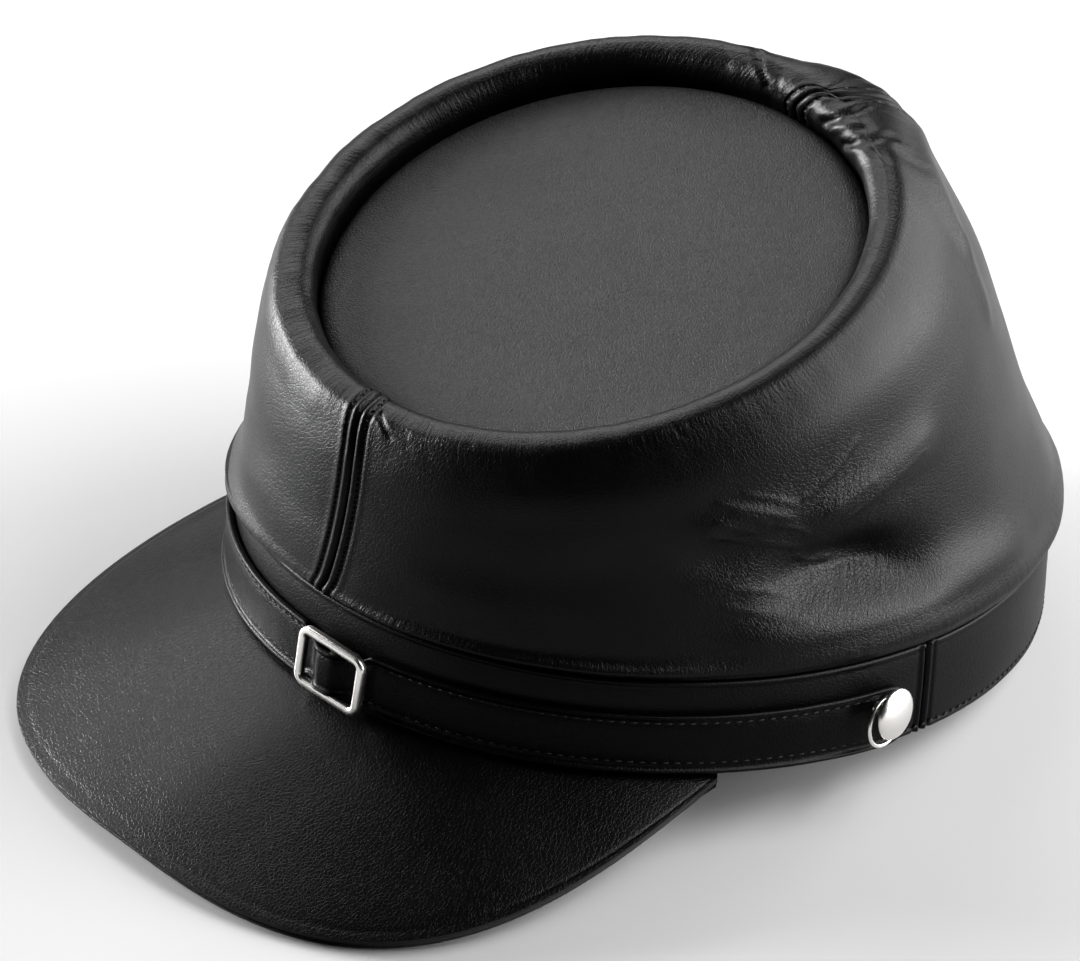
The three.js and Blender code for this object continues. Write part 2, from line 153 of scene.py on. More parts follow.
camera_data = bpy.data.cameras.new("camera")
camera_data.lens = 254
camera_data.sensor_width = 36
camera_data.clip_start = 0.05
camera = new_object("camera", camera_data)
camera.location = eye
camera.rotation_euler = (aim - eye).to_track_quat("-Z", "Y").to_euler()
bpy.context.scene.camera = camera
print("camera stands", round(eye.z, 3), "m above the floor")

# %% [markdown]
# ## Studio
# Black leather shows little but what it reflects, so the lights are large soft panels that stand low
# at the sides and behind, where the leather's edges mirror them. Two weaker ones on the right stand
# higher and draw the rim. Nothing bright stands near the camera or overhead, which keeps the walls
# and the peak black. The panels are named after where they stand, with angles in degrees and sizes
# in metres.

# %% Floor, world and lights
Panel = namedtuple("Panel", "name azimuth elevation width height power")
PANELS = [
    Panel("left", -64, 10, 0.6, 0.5, 76),
    Panel("high_left", -112, 38, 1.2, 0.6, 18),
    Panel("right", 138, 10, 1.35, 0.7, 54),
    Panel("back", 180, 20, 0.5, 0.8, 11),
    Panel("strip_right", 130, 42, 1.0, 0.16, 18),
    Panel("high_right", 135, 56, 1.0, 0.4, 10),
]
PANEL_DISTANCE = 1.3
LOOK_AT = Vector((0, 0, 0.06))
FLOOR_SIZE = 4
WORLD_LIGHT = 0.01


def add_panel(panel):
    light = bpy.data.lights.new(panel.name, "AREA")
    light.shape = "RECTANGLE"
    light.size = panel.width
    light.size_y = panel.height
    light.energy = panel.power
    stand = new_object(panel.name, light)
    away = direction(panel.azimuth, panel.elevation)
    stand.location = LOOK_AT + away * PANEL_DISTANCE
    stand.rotation_euler = away.to_track_quat("Z", "Y").to_euler()


for panel in PANELS:
    add_panel(panel)

world = bpy.data.worlds.new("studio")
bpy.context.scene.world = world
world.use_nodes = True
background = world.node_tree.nodes["Background"]
background.inputs["Color"].default_value = (1.0, 1.0, 1.0, 1)
background.inputs["Strength"].default_value = WORLD_LIGHT
bpy.context.scene.view_settings.view_transform = "Standard"


def mesh_object(name, bm):
    """Turns a bmesh into an object, and frees it."""
    mesh = bpy.data.meshes.new(name)
    bm.to_mesh(mesh)
    bm.free()
    return new_object(name, mesh)


bm = bmesh.new()
bmesh.ops.create_grid(bm, x_segments=1, y_segments=1, size=FLOOR_SIZE)
floor = mesh_object("floor", bm)
print(len(PANELS), "light panels")

# %% [markdown]
# ## Shader helper
# Node trees are easier to read as sums. `Wire` wraps one socket, and each operator on it adds a Math
# node. `Finish` holds a material and adds any other node in one call.

# %% Wire and Finish
class Wire:
    """An output socket that can be used in sums."""

    def __init__(self, finish, socket):
        self.finish = finish
        self.socket = socket

    def math(self, operation, *others):
        return self.finish.add("Math", {"operation": operation}, {
            index: value for index, value in enumerate((self, *others))
        })

    def __add__(self, other):
        return self.math("ADD", other)

    def __sub__(self, other):
        return self.math("SUBTRACT", other)

    def __rsub__(self, other):
        return self.finish.add("Math", {"operation": "SUBTRACT"}, {0: other, 1: self})

    def __mul__(self, other):
        return self.math("MULTIPLY", other)

    __radd__ = __add__
    __rmul__ = __mul__


class Finish:
    """A material on a Principled shader, with one method that adds nodes."""

    def __init__(self, name):
        self.material = bpy.data.materials.new(name)
        self.material.use_nodes = True
        self.tree = self.material.node_tree
        self.shader = self.tree.nodes["Principled BSDF"]

    def feed(self, socket, value):
        if isinstance(value, Wire):
            self.tree.links.new(value.socket, socket)
        else:
            socket.default_value = value

    def add(self, kind, settings=None, inputs=None, output=0):
        node = self.tree.nodes.new("ShaderNode" + kind)
        for name, value in (settings or {}).items():
            setattr(node, name, value)
        for name, value in (inputs or {}).items():
            self.feed(node.inputs[name], value)
        return Wire(self, node.outputs[output])

    def shade(self, **inputs):
        for name, value in inputs.items():
            self.feed(self.shader.inputs[name.replace("_", " ")], value)
        return self.material

    def between(self, low, high, value):
        """0 below low, 1 above high, smooth in between."""
        return self.add("MapRange", {"interpolation_type": "SMOOTHSTEP"}, {
            "Value": value, "From Min": low, "From Max": high,
        })

    def noise(self, place, size, detail, roughness=0.5, output=0):
        """Cloudy noise with patches of about the given size in millimetres."""
        return self.add("TexNoise", {}, {
            "Vector": place, "Scale": 1 / (size * MM), "Detail": detail, "Roughness": roughness,
        }, output)

    def blend(self, share, first, second):
        """A colour between two others."""
        return self.add("Mix", {"data_type": "RGBA"}, {
            "Factor": share, "A": first, "B": second,
        }, output=2)


# %% [markdown]
# ## Leather
# The grain of smooth cowhide is a net of small pebbles with creases between them, a little under a
# millimetre across. Voronoi cells give the pebbles, a finer noise breaks them up, and a slow noise
# varies the polish. The grain is only bump, because it is far smaller than the mesh.
# Leather that is dyed through and waxed has almost no colour of its own: what shows is its sheen, so
# the base colour is close to zero and the IOR says how strong the sheen is. The matt top is greyer.
# Folded and gathered places also show stretched creases that follow the surface, and every stitch of
# a crown seam pulls a small pit. Those read the piece's UV maps, which hold lengths on the leather.

# %% Leather finish
LEATHER_IOR = 1.21
BLACK = (0.0003, 0.0003, 0.0003, 1)
DARKER_SHARE = 0.5
STITCH_PITCH = 2.4
STITCH_ROW = 2.9
# millimetres of leather for one radian round the cap
AROUND = 85.0
# the dent's place, in degrees round the cap and millimetres up the leather
DENT_MIDDLE = (-10, 34)


def pebbles(finish, place, grain):
    """Height of the grain: flat-topped pebbles with narrow creases, and finer pores on them."""
    sway = finish.noise(place, 2.5 * grain, 2.0, output=1)
    bent = finish.add("VectorMath", {"operation": "MULTIPLY_ADD"}, {
        0: sway, 1: (0.9 * grain * MM,) * 3, 2: place,
    })
    cells = finish.add("TexVoronoi", {"feature": "DISTANCE_TO_EDGE"}, {
        "Vector": bent, "Scale": 1 / (grain * MM),
    })
    pores = finish.noise(place, grain / 1.6, 3.0, 0.6)
    return finish.between(0.0, 0.16, cells) * 0.5 + pores


def stretched(finish, turn, across, along):
    """Creases pulled long in one direction of the leather, from its UV map."""
    place = finish.add("UVMap", {"uv_map": "leather"})
    pulled = finish.add("Mapping", {"vector_type": "TEXTURE"}, {
        "Vector": place, "Rotation": (0, 0, math.radians(turn)),
        "Scale": (across * MM, along * MM, MM),
    })
    return finish.add("TexNoise", {"noise_dimensions": "2D"}, {
        "Vector": pulled, "Scale": 1.0, "Detail": 3.0, "Roughness": 0.55, "Distortion": 0.4,
    })


def leather(name, tint, roughness, grain=0.9, depth=0.05, mottle=0.0, ior=LEATHER_IOR,
            pulls=None):
    """A leather finish: grain size and depth in millimetres, mottle from 0, cloudy, to 1, fine."""
    finish = Finish(name)
    place = finish.add("TexCoord", output="Object")
    cloud = finish.noise(place, 22, 4.0, 0.55)
    grains = pebbles(finish, place, grain)
    height = grains * depth
    if pulls:
        height = height + pulls(finish)
    bump = finish.add("Bump", {}, {"Height": height, "Distance": MM, "Strength": 1.0})
    darker = tuple(DARKER_SHARE * channel for channel in tint[:3]) + (1,)
    specks = finish.noise(place, 1.1, 3.0, 0.7)
    share = finish.between(0.3, 0.7, cloud * (1 - mottle) + specks * mottle)
    return finish.shade(
        Base_Color=finish.blend(share, darker, tint),
        Roughness=roughness - 0.05 + cloud * 0.1 - grains * 0.03,
        Normal=bump,
        IOR=ior,
    )


def stitch_dimples(finish):
    """Pits where each stitch of a crown seam pulls the leather down: 1 in a pit and 0 elsewhere."""
    place = finish.add("UVMap", {"uv_map": "seam"})
    across = finish.add("SeparateXYZ", {}, {"Vector": place}, output=0)
    along = finish.add("SeparateXYZ", {}, {"Vector": place}, output=1)
    off_row = (across - STITCH_ROW * MM).math("ABSOLUTE")
    wave = (along * (2 * math.pi / (STITCH_PITCH * MM))).math("SINE")
    return finish.between(0.75 * MM, 0.1 * MM, off_row) * finish.between(-0.6, 0.8, wave)


def crown_pulls(finish):
    """Gathers over the roll and at the band, slanting creases and a coarser grain at the dent, and
    the pits of the stitches. The edges of these places are metres up the leather."""
    place = finish.add("UVMap", {"uv_map": "leather"})
    up = finish.add("SeparateXYZ", {}, {"Vector": place}, output=1)
    gathers = stretched(finish, 0, 1.3, 9)
    on_roll = finish.between(0.070, 0.082, up)
    at_band = finish.between(0.014, 0.004, up)
    degrees, rise = DENT_MIDDLE
    from_dent = finish.add("VectorMath", {"operation": "DISTANCE"}, {
        0: place, 1: (math.radians(degrees) * AROUND * MM, rise * MM, 0),
    }, output=1)
    at_dent = finish.between(0.036, 0.010, from_dent)
    slants = stretched(finish, -38, 1.2, 4.5)
    coarse = pebbles(finish, finish.add("TexCoord", output="Object"), 0.9) * 0.07
    places = gathers * (on_roll * 0.14 + at_band * 0.16) + (slants * 0.3 + coarse) * at_dent
    return places - stitch_dimples(finish) * 0.4


crown_leather = leather("crown leather", BLACK, 0.4, pulls=crown_pulls)
top_leather = leather("top leather", (0.023, 0.023, 0.0235, 1), 0.6, grain=0.8, depth=0.2,
                      mottle=0.7)
band_leather = leather("band leather", BLACK, 0.42, ior=1.17)
peak_leather = leather("peak leather", BLACK, 0.36, depth=0.055)
strap_leather = leather("strap leather", BLACK, 0.36, grain=0.8, ior=1.15)

nickel = Finish("polished nickel").shade(
    Base_Color=(0.78, 0.765, 0.74, 1), Metallic=1.0, Roughness=0.27)
thread = Finish("black thread").shade(
    Base_Color=(0.006, 0.006, 0.006, 1), Roughness=0.6, IOR=1.22)
floor_grey = Finish("studio floor").shade(Base_Color=(0.3, 0.3, 0.3, 1), Roughness=0.9)
floor.data.materials.append(floor_grey)
print("finishes:", len(bpy.data.materials))

# %% [markdown]
# ## From a bmesh to a piece
# Every piece goes through the same door: its bmesh is put in place, smoothed and bound to the body
# it rides on, and the CAD solids that it stands for are hidden.

# %% Finishing helper
def make_piece(name, bm, material, slot, *nodes):
    bm.transform(PLACE)
    for face in bm.faces:
        face.smooth = True
    piece = mesh_object(name, bm)
    mesh = piece.data
    mesh.materials.append(material)
    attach(piece, "root")
    if nodes:
        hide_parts(*nodes)
    print(f"{name}: {len(mesh.vertices)} points, {len(mesh.polygons)} faces")
    return piece


def fill_map(bm, name, place_of):
    """Fills a UV layer from a function of each corner's point."""
    layer = bm.loops.layers.uv.new(name)
    for face in bm.faces:
        for corner in face.loops:
            corner[layer].uv = place_of(corner.vert)


def bend_grid(points, **maps):
    """A flat grid of faces whose corners move to their places; each map fills a UV layer."""
    rows, columns = points.shape[:2]
    bm = bmesh.new()
    bmesh.ops.create_grid(bm, x_segments=columns - 1, y_segments=rows - 1, size=1)
    bm.verts.index_update()
    for name, values in maps.items():
        places = values.reshape(-1, 2)
        fill_map(bm, name, lambda vert: places[vert.index])
    for vert, point in zip(bm.verts, points.reshape(-1, 3)):
        vert.co = point
    return bm


def add_modifier(piece, kind, **settings):
    modifier = piece.modifiers.new(kind.lower(), kind)
    for name, value in settings.items():
        setattr(modifier, name, value)


# %% [markdown]
# ## Crown
# Each half of the crown is one cut of soft leather, sewn to the other at the front and the back. It
# rises from the band, leans forward and rolls over into the sunken top. The shape is a stack of
# ovals, and then the rows of the roll: a tight outer bend, a top that is flattest at the front, a
# quarter turn inwards, a straight drop past the disc, and an edge turned in under it. A smooth curve
# is drawn up through all rows. At each row the leather may also turn round the cap, which makes the
# seams slant, and folds push it out or in, around an angle in degrees and a row.
# This could be a lofted surface with a subdivision modifier. A dense grid bent by a function is used
# instead, because folds and puckers can then be pressed into it by plain sums.

# %% Ovals, roll and folds of the crown
Section = namedtuple("Section", "name half_width half_length centre_y height tilt")
CROWN = [
    Section("foot", 87.0, 95.9, 0.8, 22.7, 0),
    Section("lip", 88.6, 98.6, 2.1, 25.0, 0.5),
    Section("bulge", 86.7, 96.7, -0.3, 31.0, 2),
    Section("lower", 83.6, 92.3, -4.9, 42.0, 5),
    Section("middle", 80.8, 87.4, -9.8, 57.0, 10),
    Section("upper", 79.0, 82.7, -15.3, 72.0, 15),
    Section("shoulder", 75.9, 77.3, -20.8, 83.0, 18.5),
]
# the round opening that the disc closes
RIM_RADIUS = 61.9
RIM_CENTRE_Y = -24.3
RIM_HEIGHT = 92.8
# the roll: its outer bend and where that starts, its flat top and how much of it is left at the
# back, its inner quarter turn, the drop past the disc, and the edge turned in and down
ROLL_OUTER = 3.9
ROLL_START = math.radians(56)
ROLL_FLAT = 1.9
FLAT_AT_BACK = 0.35
ROLL_RADIUS = 4.6
ROLL_DROP = 5.4
ROLL_TURN_IN = (3.0, 0.9)
ROLL_SHIFT = np.array([-0.9, -1.4, -0.9])
CROWN_WALL = 2.0
FRONT_TURN = math.radians(1)
# how far the leather turns round the cap at each row, in degrees, at the front and at the back
FRONT_LEANS = np.radians([
    0, 0.3, 1.5, 2.6, 3.0, 3.2, 2.8, 2.6, 2.5, 2.4, 2.2, 2.0, 1.5, 1.0, 0.4, 0, 0,
])
BACK_LEANS = np.radians([0, 0, -1, -3, -6, -9, -11, -11, -10, -9, -8, -5.5, -3, -1.5, 0, 1, 1])

# angle and reach round the cap in degrees, row and reach in rows, push in millimetres
Fold = namedtuple("Fold", "angle row around up push")
FOLDS = [
    Fold(22, 3.64, 10, 1.12, 1.2),
    Fold(83, 6.6, 13, 1.6, 4.0),
    Fold(-130, 1, 22, 0.7, 1.8),
    Fold(-135, 2.3, 20, 0.8, -0.9),
    Fold(52, 1.2, 16, 0.8, -0.7),
]
LIP_SAG = Fold(-130, 1, 24, 0.8, 4.0)
print("ovals, from the band up:", ", ".join(section.name for section in CROWN))


# %% Bend the rows
def lean(angle, row):
    """How far the leather has turned round the cap at a row, which may lie between two rows."""
    rows = np.arange(len(FRONT_LEANS))
    front = np.interp(row, rows, FRONT_LEANS) * (1 - np.sin(angle)) / 2
    back = np.interp(row, rows, BACK_LEANS) * ((1 + np.sin(angle)) / 2) ** 5
    return front + back


def fold_share(fold, angle, row):
    """1 at the middle of a fold and 0 away from it."""
    sideways = (np.degrees(angle) - fold.angle + 180) % 360 - 180
    return np.exp(-(sideways / fold.around) ** 2 - ((row - fold.row) / fold.up) ** 2)


def folded(angle, row):
    """How far all the folds together push the leather out at a row."""
    return sum(fold.push * fold_share(fold, angle, row) for fold in FOLDS)


def on_oval(section, angle, grow=0.0):
    """Points on a section's tilted oval, grown by some millimetres."""
    tilt = math.radians(section.tilt)
    along = (section.half_length + grow) * np.sin(angle)
    return np.stack([
        (section.half_width + grow) * np.cos(angle),
        section.centre_y + along * math.cos(tilt),
        section.height + along * math.sin(tilt),
    ], axis=-1)


def crown_rows(angle):
    """The rows that the leather passes through, from the band to the seam of the top."""
    rows = []
    for index, section in enumerate(CROWN):
        here = angle + lean(angle, index)
        row = on_oval(section, here, folded(here, index))
        row[:, 2] -= LIP_SAG.push * fold_share(LIP_SAG, here, index)
        rows.append(row)
    opening = Section("rim", RIM_RADIUS, RIM_RADIUS, RIM_CENTRE_Y, RIM_HEIGHT,
                      math.degrees(RIM_TIP))
    up = np.array([0.0, -math.sin(RIM_TIP), math.cos(RIM_TIP)])

    def add_rim_row(grow, drop):
        number = len(rows)
        here = angle + lean(angle, number)
        rows.append(on_oval(opening, here, grow + folded(here, number)) - up * drop + ROLL_SHIFT)

    at_front = ((1 - np.sin(angle)) / 2) ** 1.5
    flat = ROLL_FLAT * (FLAT_AT_BACK + (1 - FLAT_AT_BACK) * at_front)
    outer = ROLL_OUTER + (ROLL_FLAT - flat) / math.sin(ROLL_START)
    for turn in ROLL_START * np.array([1, 0.67, 0.33, 0]):
        add_rim_row(ROLL_RADIUS + flat + outer * math.sin(turn),
                    outer[:, None] * (1 - math.cos(turn)))
    for turn in np.radians([0, 30, 60, 90]):
        add_rim_row(ROLL_RADIUS * (1 - math.sin(turn)), ROLL_RADIUS * (1 - math.cos(turn)))
    foot = ROLL_RADIUS + ROLL_DROP
    add_rim_row(0.0, foot)
    inward, lower = ROLL_TURN_IN
    add_rim_row(-inward, foot + lower)
    return np.stack(rows)


# %% Draw a smooth curve up through the rows
def row_lengths(rows):
    """Mean length along the leather at each row."""
    steps = np.linalg.norm(np.diff(rows, axis=0), axis=-1).mean(axis=1)
    return np.concatenate([[0.0], np.cumsum(steps)])


def curve_through(rows, knots, at):
    """A smooth curve through the rows, read at the given lengths."""
    step = np.diff(knots)[:, None, None]
    slope = np.diff(rows, axis=0) / step
    tangent = np.empty_like(rows)
    tangent[1:-1] = (slope[:-1] * step[1:] + slope[1:] * step[:-1]) / (step[1:] + step[:-1])
    tangent[0], tangent[-1] = slope[0], slope[-1]
    k = np.clip(np.searchsorted(knots, at, side="right") - 1, 0, len(knots) - 2)
    span = (knots[k + 1] - knots[k])[:, None, None]
    t = (at - knots[k])[:, None, None] / span
    return (
        rows[k] * (1 + 2 * t) * (1 - t) ** 2 + tangent[k] * span * t * (1 - t) ** 2
        + rows[k + 1] * t ** 2 * (3 - 2 * t) + tangent[k + 1] * span * t ** 2 * (t - 1)
    )


KNOTS = row_lengths(crown_rows(np.linspace(-math.pi, math.pi, 73)))
SHOULDER = KNOTS[len(CROWN) - 1]
ROLL_END = KNOTS[-3]
LEATHER_END = KNOTS[-1]
print(f"leather, edge to edge: {LEATHER_END:.1f} mm, its shoulder at {SHOULDER:.1f}")

# %% [markdown]
# Detail is only as fine as the grid, so the grid is close at the seams, the lip, the roll and the
# dent, and wide elsewhere. `smooth`, `within` and `bell` are the ramp, the plateau and the bump that
# all shaping below is made of.

# %% Spacing of the crown's grid
def stops(start, stop, spacing):
    """Values from start to stop whose steps follow a function of place."""
    values = [start]
    while values[-1] < stop:
        values.append(values[-1] + spacing(values[-1]))
    values = np.array(values)
    return start + (values - start) * (stop - start) / (values[-1] - start)


def smooth(low, high, value):
    t = np.clip((value - low) / (high - low), 0, 1)
    return t * t * (3 - 2 * t)


def within(low, high, fade, value):
    return smooth(low - fade, low + fade, value) * (1 - smooth(high - fade, high + fade, value))


def bell(value, width):
    return np.exp(-(value / width) ** 2)


DENT_ROWS = (21, 58)
DENT_DEGREES = (-28, 16)
DENT_FADE = 2


def row_step(length):
    fine = max(1 - smooth(7, 12, length), smooth(SHOULDER - 2, SHOULDER + 4, length))
    return 1.1 - 0.55 * fine - 0.4 * within(*DENT_ROWS, DENT_FADE, length)


ROWS = stops(0.0, LEATHER_END, row_step)


def columns_between(start, stop):
    """Angles of the grid's columns from seam to seam."""
    def spacing(length):
        from_seam = min(length, total - length)
        degrees = math.degrees(start + length / AROUND)
        in_dent = within(*DENT_DEGREES, DENT_FADE, degrees)
        return 0.36 + 0.94 * smooth(5, 14, from_seam) - 0.6 * in_dent
    total = (stop - start) * AROUND
    return start + stops(0.0, total, spacing) / AROUND


print(len(ROWS), "rows of points up the crown")

# %% [markdown]
# The sculpting adds up simple marks in millimetres, each a bell or a wave of the place on the
# leather: seams with a rib on both sides, puckers where the roll is gathered, folds, the dent, and a
# soft unevenness that keeps the leather from looking like sheet metal. A crease follows a path of
# (degrees round the cap, millimetres up the leather), with its width, its height or depth, and how
# much it swells at its sides.

# %% Seams and soft unevenness
BACK_SEAM_DEPTH = 0.45


def seam_mark(distance):
    """Height beside a seam: the groove between the two edges, a rounded rib, the stitched line."""
    return (
        -1.0 * bell(distance, 0.42)
        + 0.5 * bell(distance - 1.4, 0.75)
        - 0.45 * bell(distance - STITCH_ROW, 0.45)
        + 0.15 * bell(distance - 4.1, 0.8)
    )


def slow_noise(across, length, size, seed):
    """Smooth noise with bumps of about the given size, between -1 and 1."""
    values = [
        noise.noise((a / size, b / size, seed))
        for a, b in zip(across.ravel(), length.ravel())
    ]
    return np.array(values).reshape(across.shape)


# %% Creases of the crown
Crease = namedtuple("Crease", "path width height side", defaults=(0.0,))
CREASES = [
    # puckers in the roll beside the back seam
    Crease([(106, 79.5), (102, 85), (98, 91)], 0.9, -1.2, 0.6),
    Crease([(111, 82), (109, 86), (108, 90)], 0.8, -0.4, 0.3),
    Crease([(96.5, 84), (95.5, 88), (95, 92)], 0.7, -0.5, 0.4),
    Crease([(81, 92), (77, 88.5), (75.5, 85), (75.8, 80.5)], 1.3, -1.5, 0.6),
    Crease([(77, 91.5), (72.5, 87.5), (70.5, 84)], 1.0, 0.9),
    Crease([(73, 93), (68, 88.5), (65.4, 85), (66.5, 78)], 1.3, -1.4, 0.5),
    Crease([(72, 92), (64, 86.5), (58, 82)], 0.6, -0.4, 0.5),
    Crease([(87, 76), (85, 80), (84.5, 84)], 0.9, -0.5, 0.4),
    # short puckers along the front of the roll
    Crease([(-83, 83), (-81, 80.5), (-78.5, 77)], 0.8, -0.75, 0.6),
    Crease([(-76, 81), (-75.5, 78), (-74, 74)], 0.6, -0.35, 0.4),
    Crease([(-63, 84), (-63, 80)], 0.55, -0.4, 0.5),
    Crease([(-49.5, 83), (-49, 79.5)], 0.5, -0.35, 0.5),
    Crease([(-34, 83), (-33.6, 79)], 0.5, -0.35, 0.5),
    Crease([(-29, 82), (-28.5, 78)], 0.5, -0.3, 0.5),
    Crease([(-26, 81.5), (-25, 77)], 0.55, -0.4, 0.5),
    # soft folds that run down from the back of the roll
    Crease([(78, 68), (68, 70.5), (60, 70.5), (52, 67.5), (48, 62)], 3.2, 1.1),
    Crease([(50, 66), (46, 59), (42.5, 50)], 3.2, 0.6),
    # the dent, and the broad swells round it
    Crease([(-16, 30), (-8, 27.5), (0, 24.5), (5, 22.5)], 8.6, -6.5),
    Crease([(-7, 30.5), (-2, 28), (3, 25)], 4.5, -1.8),
    Crease([(-29, 41), (-21, 40)], 6.0, -1.6),
    Crease([(-28, 50), (-20, 50.5), (-13, 48)], 4.5, 1.3),
    Crease([(-9, 44), (0, 45), (14, 48)], 4.5, 1.8),
    Crease([(-24, 12.5), (-10, 13), (5, 13), (26, 12)], 7.0, 1.9),
    # fine wrinkles at the dent
    Crease([(-24, 57.5), (-20, 54), (-16.5, 50.5), (-13, 46)], 1.0, 0.4),
    Crease([(-22, 54.5), (-19, 51), (-17, 47.5)], 0.6, 0.3),
    Crease([(-19.5, 58), (-15.5, 54), (-12, 50)], 0.6, 0.3),
    Crease([(-25, 52.5), (-22, 49.5), (-19.5, 46)], 0.6, 0.28),
    Crease([(-27, 50), (-24, 46.5), (-20, 42.5)], 0.6, 0.35),
    Crease([(-16, 46.5), (-13, 43.5), (-11, 40)], 0.7, 0.4),
    Crease([(-5.5, 40), (-1, 42.6), (4, 44.3), (12, 46)], 0.9, 0.35),
    Crease([(-8, 44.5), (-4, 46.3), (1, 47.6)], 0.7, 0.45),
    Crease([(-11, 50.5), (-5, 53.5), (1, 58)], 0.7, 0.3),
    Crease([(-9.5, 27.6), (-6, 25.6), (-2, 25.2), (4, 24)], 1.3, -0.5, 0.4),
    Crease([(-13, 33), (-10, 29.5), (-6, 28)], 0.9, 0.35),
    Crease([(-19, 42.5), (-15, 39), (-12.5, 35.5)], 0.9, 0.25),
    Crease([(-24, 30), (-19, 27), (-15, 23)], 1.0, 0.25),
    Crease([(-26, 25), (-20, 21), (-15, 18)], 1.0, 0.22),
]


PATH_POINTS = 60
CORNER = 3
print(len(CREASES), "creases")


# %% Add up the marks
def along_path(path, width, across, length):
    """1 on a path, given in millimetres, and 0 away from it, fading over the given width."""
    shares = np.linspace(0, 1, PATH_POINTS)
    knots = np.linspace(0, 1, len(path))
    ways, ups = (np.interp(shares, knots, values) for values in path.T)
    rounding = np.ones(2 * CORNER + 1) / (2 * CORNER + 1)
    for values in (ways, ups):
        values[CORNER:-CORNER] = np.convolve(values, rounding, "valid")
    total = np.zeros_like(across)
    for way, up, step in zip(ways, ups, np.hypot(np.gradient(ways), np.gradient(ups))):
        total += bell(np.hypot(across - way, length - up), width) * step
    return total / (width * math.sqrt(math.pi))


def crease_mark(crease, across, length):
    """A valley or a ridge along a path, with a low swell on both sides of it."""
    path = np.array(crease.path, dtype=float) * (math.radians(AROUND), 1)
    middle = path.mean(axis=0)
    reach = 8 + 4 * crease.width + np.ptp(path, axis=0).sum()
    # only points near the path are worked out, which saves most of the time
    near = np.hypot(across - middle[0], length - middle[1]) < reach
    places = across[near], length[near]
    mark = along_path(path, crease.width, *places)
    if crease.side:
        mark -= crease.side * along_path(path, 2.4 * crease.width, *places)
    height = np.zeros_like(length)
    height[near] = crease.height * mark
    return height


def crown_marks(angle, length, from_seam, seam_depth):
    """Height of all the marks together, at points of the crown."""
    turned = angle + lean(angle, np.interp(length, KNOTS, range(len(KNOTS))))
    across = turned * AROUND
    degrees = np.degrees(turned)
    plain = smooth(4, 9, from_seam)
    on_roll = smooth(SHOULDER - 2, SHOULDER + 6, length)
    at_lip = 1 - smooth(5, 13, length)
    gathered = np.maximum.reduce([
        within(58, 112, 8, degrees),
        0.35 * within(-88, -20, 6, degrees),
        0.45 * within(115, 262, 10, degrees),
    ])
    height = seam_mark(from_seam) * seam_depth
    # soft unevenness, then coarse and fine gathers on the roll, then gathers at the lip
    height += plain * 0.22 * slow_noise(across, length, 16, 3.1)
    height += on_roll * plain * (0.12 + 0.22 * gathered) * slow_noise(across, length * 0.4, 7, 5.2)
    height += on_roll * 0.16 * gathered * slow_noise(across, length * 0.2, 2.4, 8.4)
    height += at_lip * plain * 0.05 * slow_noise(across, length * 0.2, 2.6, 1.7)
    # the swollen lip in front, and the thin turned edge that goes on from it
    height += 1.2 * within(-84, -34, 12, degrees) * bell(length - 4.4, 2.1)
    height += 0.3 * within(-40, 66, 10, degrees) * bell(length - 1.3, 0.6)
    for crease in CREASES:
        height += crease_mark(crease, across, length)
    return height


# %% [markdown]
# The marks move each point along the leather's own normal. A Solidify modifier then gives the wall
# its thickness towards the inside, so the outer face stays where it was drawn. The two halves meet
# at the seams with a gap that is too thin to see.

# %% Build the two halves of the crown
def crown_points(angles):
    """Points of one half of the crown, and their places for the two UV maps."""
    base = curve_through(crown_rows(angles), KNOTS, ROWS)
    around = np.gradient(base, angles, axis=1)
    upward = np.gradient(base, ROWS, axis=0)
    normal = np.cross(around, upward)
    normal /= np.linalg.norm(normal, axis=-1, keepdims=True)
    angle, length = np.meshgrid(angles, ROWS)
    scale = np.linalg.norm(around, axis=-1)
    from_seam = np.minimum(angle - angles[0], angles[-1] - angle) * scale
    seam_depth = np.where(np.sin(angle) > 0, BACK_SEAM_DEPTH, 1.0)
    height = crown_marks(angle, length, from_seam, seam_depth)
    leather_map = np.stack([angle * AROUND, length], axis=-1) * MM
    seam_map = np.stack([from_seam, length], axis=-1) * MM
    return base + normal * height[..., None], leather_map, seam_map


FRONT_SEAM = FRONT + FRONT_TURN
BACK_SEAM = math.radians(90)
SEAM_GAP = 0.002 / RIM_RADIUS
halves = {
    "crown_side_left": (FRONT_SEAM + SEAM_GAP, BACK_SEAM - SEAM_GAP),
    "crown_side_right": (BACK_SEAM + SEAM_GAP, FRONT_SEAM + 2 * math.pi - SEAM_GAP),
}
for node, (start, stop) in halves.items():
    points, leather_map, seam_map = crown_points(columns_between(start, stop))
    bm = bend_grid(points, leather=leather_map, seam=seam_map)
    side = make_piece(node + "_leather", bm, crown_leather, "crown_leather", node)
    add_modifier(side, "SOLIDIFY", thickness=CROWN_WALL * MM, offset=-1)

# %% [markdown]
# ## Sunken top
# A disc of matt leather is sewn in at the foot of the roll, with its edge drawn down by the seam. It
# is turned from a short profile of (radius, height), since a full spin closes itself at the centre.
# Its flat part is cut into rings first, so that it can sway a little.

# %% Build the top
def turned_on(bm, outline, steps):
    """Spins an outline of (radius, height) round the Z axis into a closed solid."""
    verts = [bm.verts.new((x, 0, z)) for x, z in outline]
    edges = [bm.edges.new(pair) for pair in zip(verts, verts[1:])]
    bmesh.ops.spin(bm, geom=verts + edges, cent=(0, 0, 0), axis=(0, 0, 1), angle=2 * math.pi,
                   steps=steps, use_merge=True)
    bmesh.ops.remove_doubles(bm, verts=bm.verts[:], dist=0.0005)
    bmesh.ops.recalc_face_normals(bm, faces=bm.faces[:])


